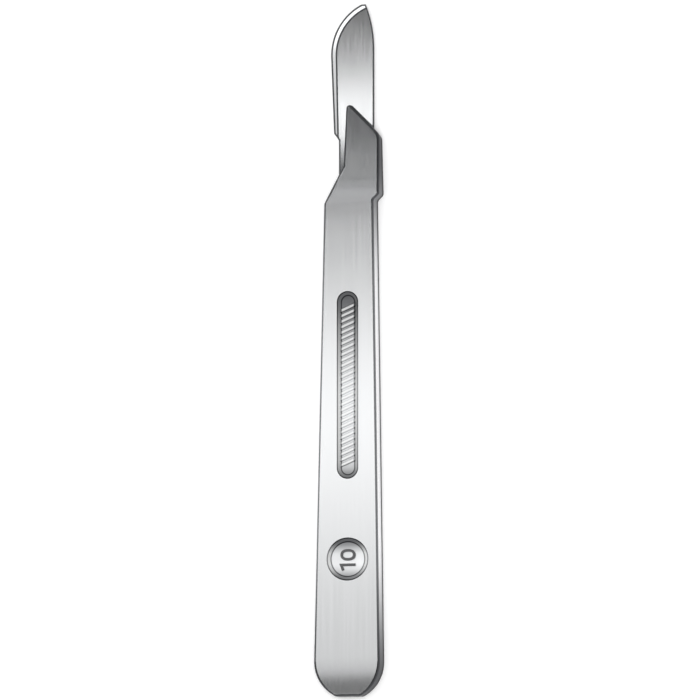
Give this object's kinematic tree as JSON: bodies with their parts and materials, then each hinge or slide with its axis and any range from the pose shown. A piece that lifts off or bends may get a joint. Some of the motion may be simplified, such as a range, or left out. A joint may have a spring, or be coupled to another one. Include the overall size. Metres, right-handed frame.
{
  "type": "scalpel with fixed blade",
  "caption": "Flat steel scalpel handle with a ribbed finger grip on each face, a round number recess and a curved-belly blade held under its slanted nose by headed studs.",
  "frame": {"origin": "under the middle of the scalpel's box, on the flat back that it lies on", "axes": "+Z out of the front face, +Y towards the tip of the blade, +X towards the spine of the blade"},
  "size_m": [0.0126, 0.128, 0.0035],
  "materials": {
    "handle_steel": "satin",
    "blade_steel": "ground"
  },
  "bodies": {
    "root": {"handle": "handle_steel", "blade": "blade_steel"}
  },
  "joints": []
}
